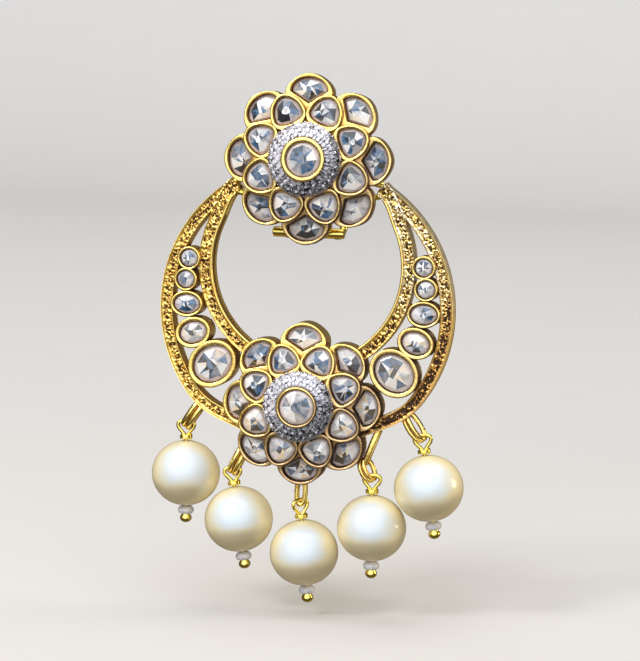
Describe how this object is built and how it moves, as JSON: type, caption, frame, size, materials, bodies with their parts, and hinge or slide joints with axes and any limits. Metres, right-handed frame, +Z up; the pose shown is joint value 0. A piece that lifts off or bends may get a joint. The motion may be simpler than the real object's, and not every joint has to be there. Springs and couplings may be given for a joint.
{
  "type": "chandbali drop earring",
  "caption": "Clip-on earring with a stone-set flower stud and a free-hanging crescent drop carrying a second flower, side stones and a fringe of pearls.",
  "frame": {"origin": "middle of the ear pad's back face, where the stud sits on the front of the ear lobe", "axes": "+X to the right seen from the front, +Y into the ear lobe (the front of the earring faces -Y), +Z up"},
  "size_m": [0.0445, 0.0146, 0.0743],
  "materials": {
    "gold": "polished antique gold plating, darker in the recesses",
    "rhodium": "rhodium plate paved with small clear stones",
    "stone": "clear rose-cut glass with a silver foil back",
    "pearl": "satin cream pearl coating on a glass bead"
  },
  "bodies": {
    "stud": {"stud_flower_frame": "gold", "stud_pave_ring": "rhodium", "stud_centre_stone": "stone", "stud_back_stone_1": "stone", "stud_back_stone_2": "stone", "stud_back_stone_3": "stone", "stud_back_stone_4": "stone", "stud_back_stone_5": "stone", "stud_back_stone_6": "stone", "stud_back_stone_7": "stone", "stud_back_stone_8": "stone", "stud_front_stone_1": "stone", "stud_front_stone_2": "stone", "stud_front_stone_3": "stone", "stud_front_stone_4": "stone", "stud_front_stone_5": "stone", "stud_front_stone_6": "stone", "stud_front_stone_7": "stone", "stud_front_stone_8": "stone", "ear_clip": "gold"},
    "drop": {"crescent_frame": "gold", "drop_pave_ring": "rhodium", "drop_centre_stone": "stone", "drop_back_stone_1": "stone", "drop_back_stone_2": "stone", "drop_back_stone_3": "stone", "drop_back_stone_4": "stone", "drop_back_stone_5": "stone", "drop_back_stone_6": "stone", "drop_back_stone_7": "stone", "drop_back_stone_8": "stone", "drop_front_stone_1": "stone", "drop_front_stone_2": "stone", "drop_front_stone_3": "stone", "drop_front_stone_4": "stone", "drop_front_stone_5": "stone", "drop_front_stone_6": "stone", "drop_front_stone_7": "stone", "drop_front_stone_8": "stone", "left_stone_1": "stone", "left_stone_2": "stone", "left_stone_3": "stone", "left_stone_4": "stone", "left_stone_5": "stone", "right_stone_1": "stone", "right_stone_2": "stone", "right_stone_3": "stone", "right_stone_4": "stone", "right_stone_5": "stone", "pearl_1": "pearl", "pearl_2": "pearl", "pearl_3": "pearl", "pearl_4": "pearl", "pearl_5": "pearl", "pearl_pin_1": "gold", "pearl_pin_2": "gold", "pearl_pin_3": "gold", "pearl_pin_4": "gold", "pearl_pin_5": "gold"}
  },
  "joints": [
    {"name": "drop_swing", "type": "hinge", "parent": "stud", "child": "drop", "pos_m": [0, -0.0016, -0.0031], "axis": [1, 0, 0], "range_deg": [-20, 30]}
  ]
}
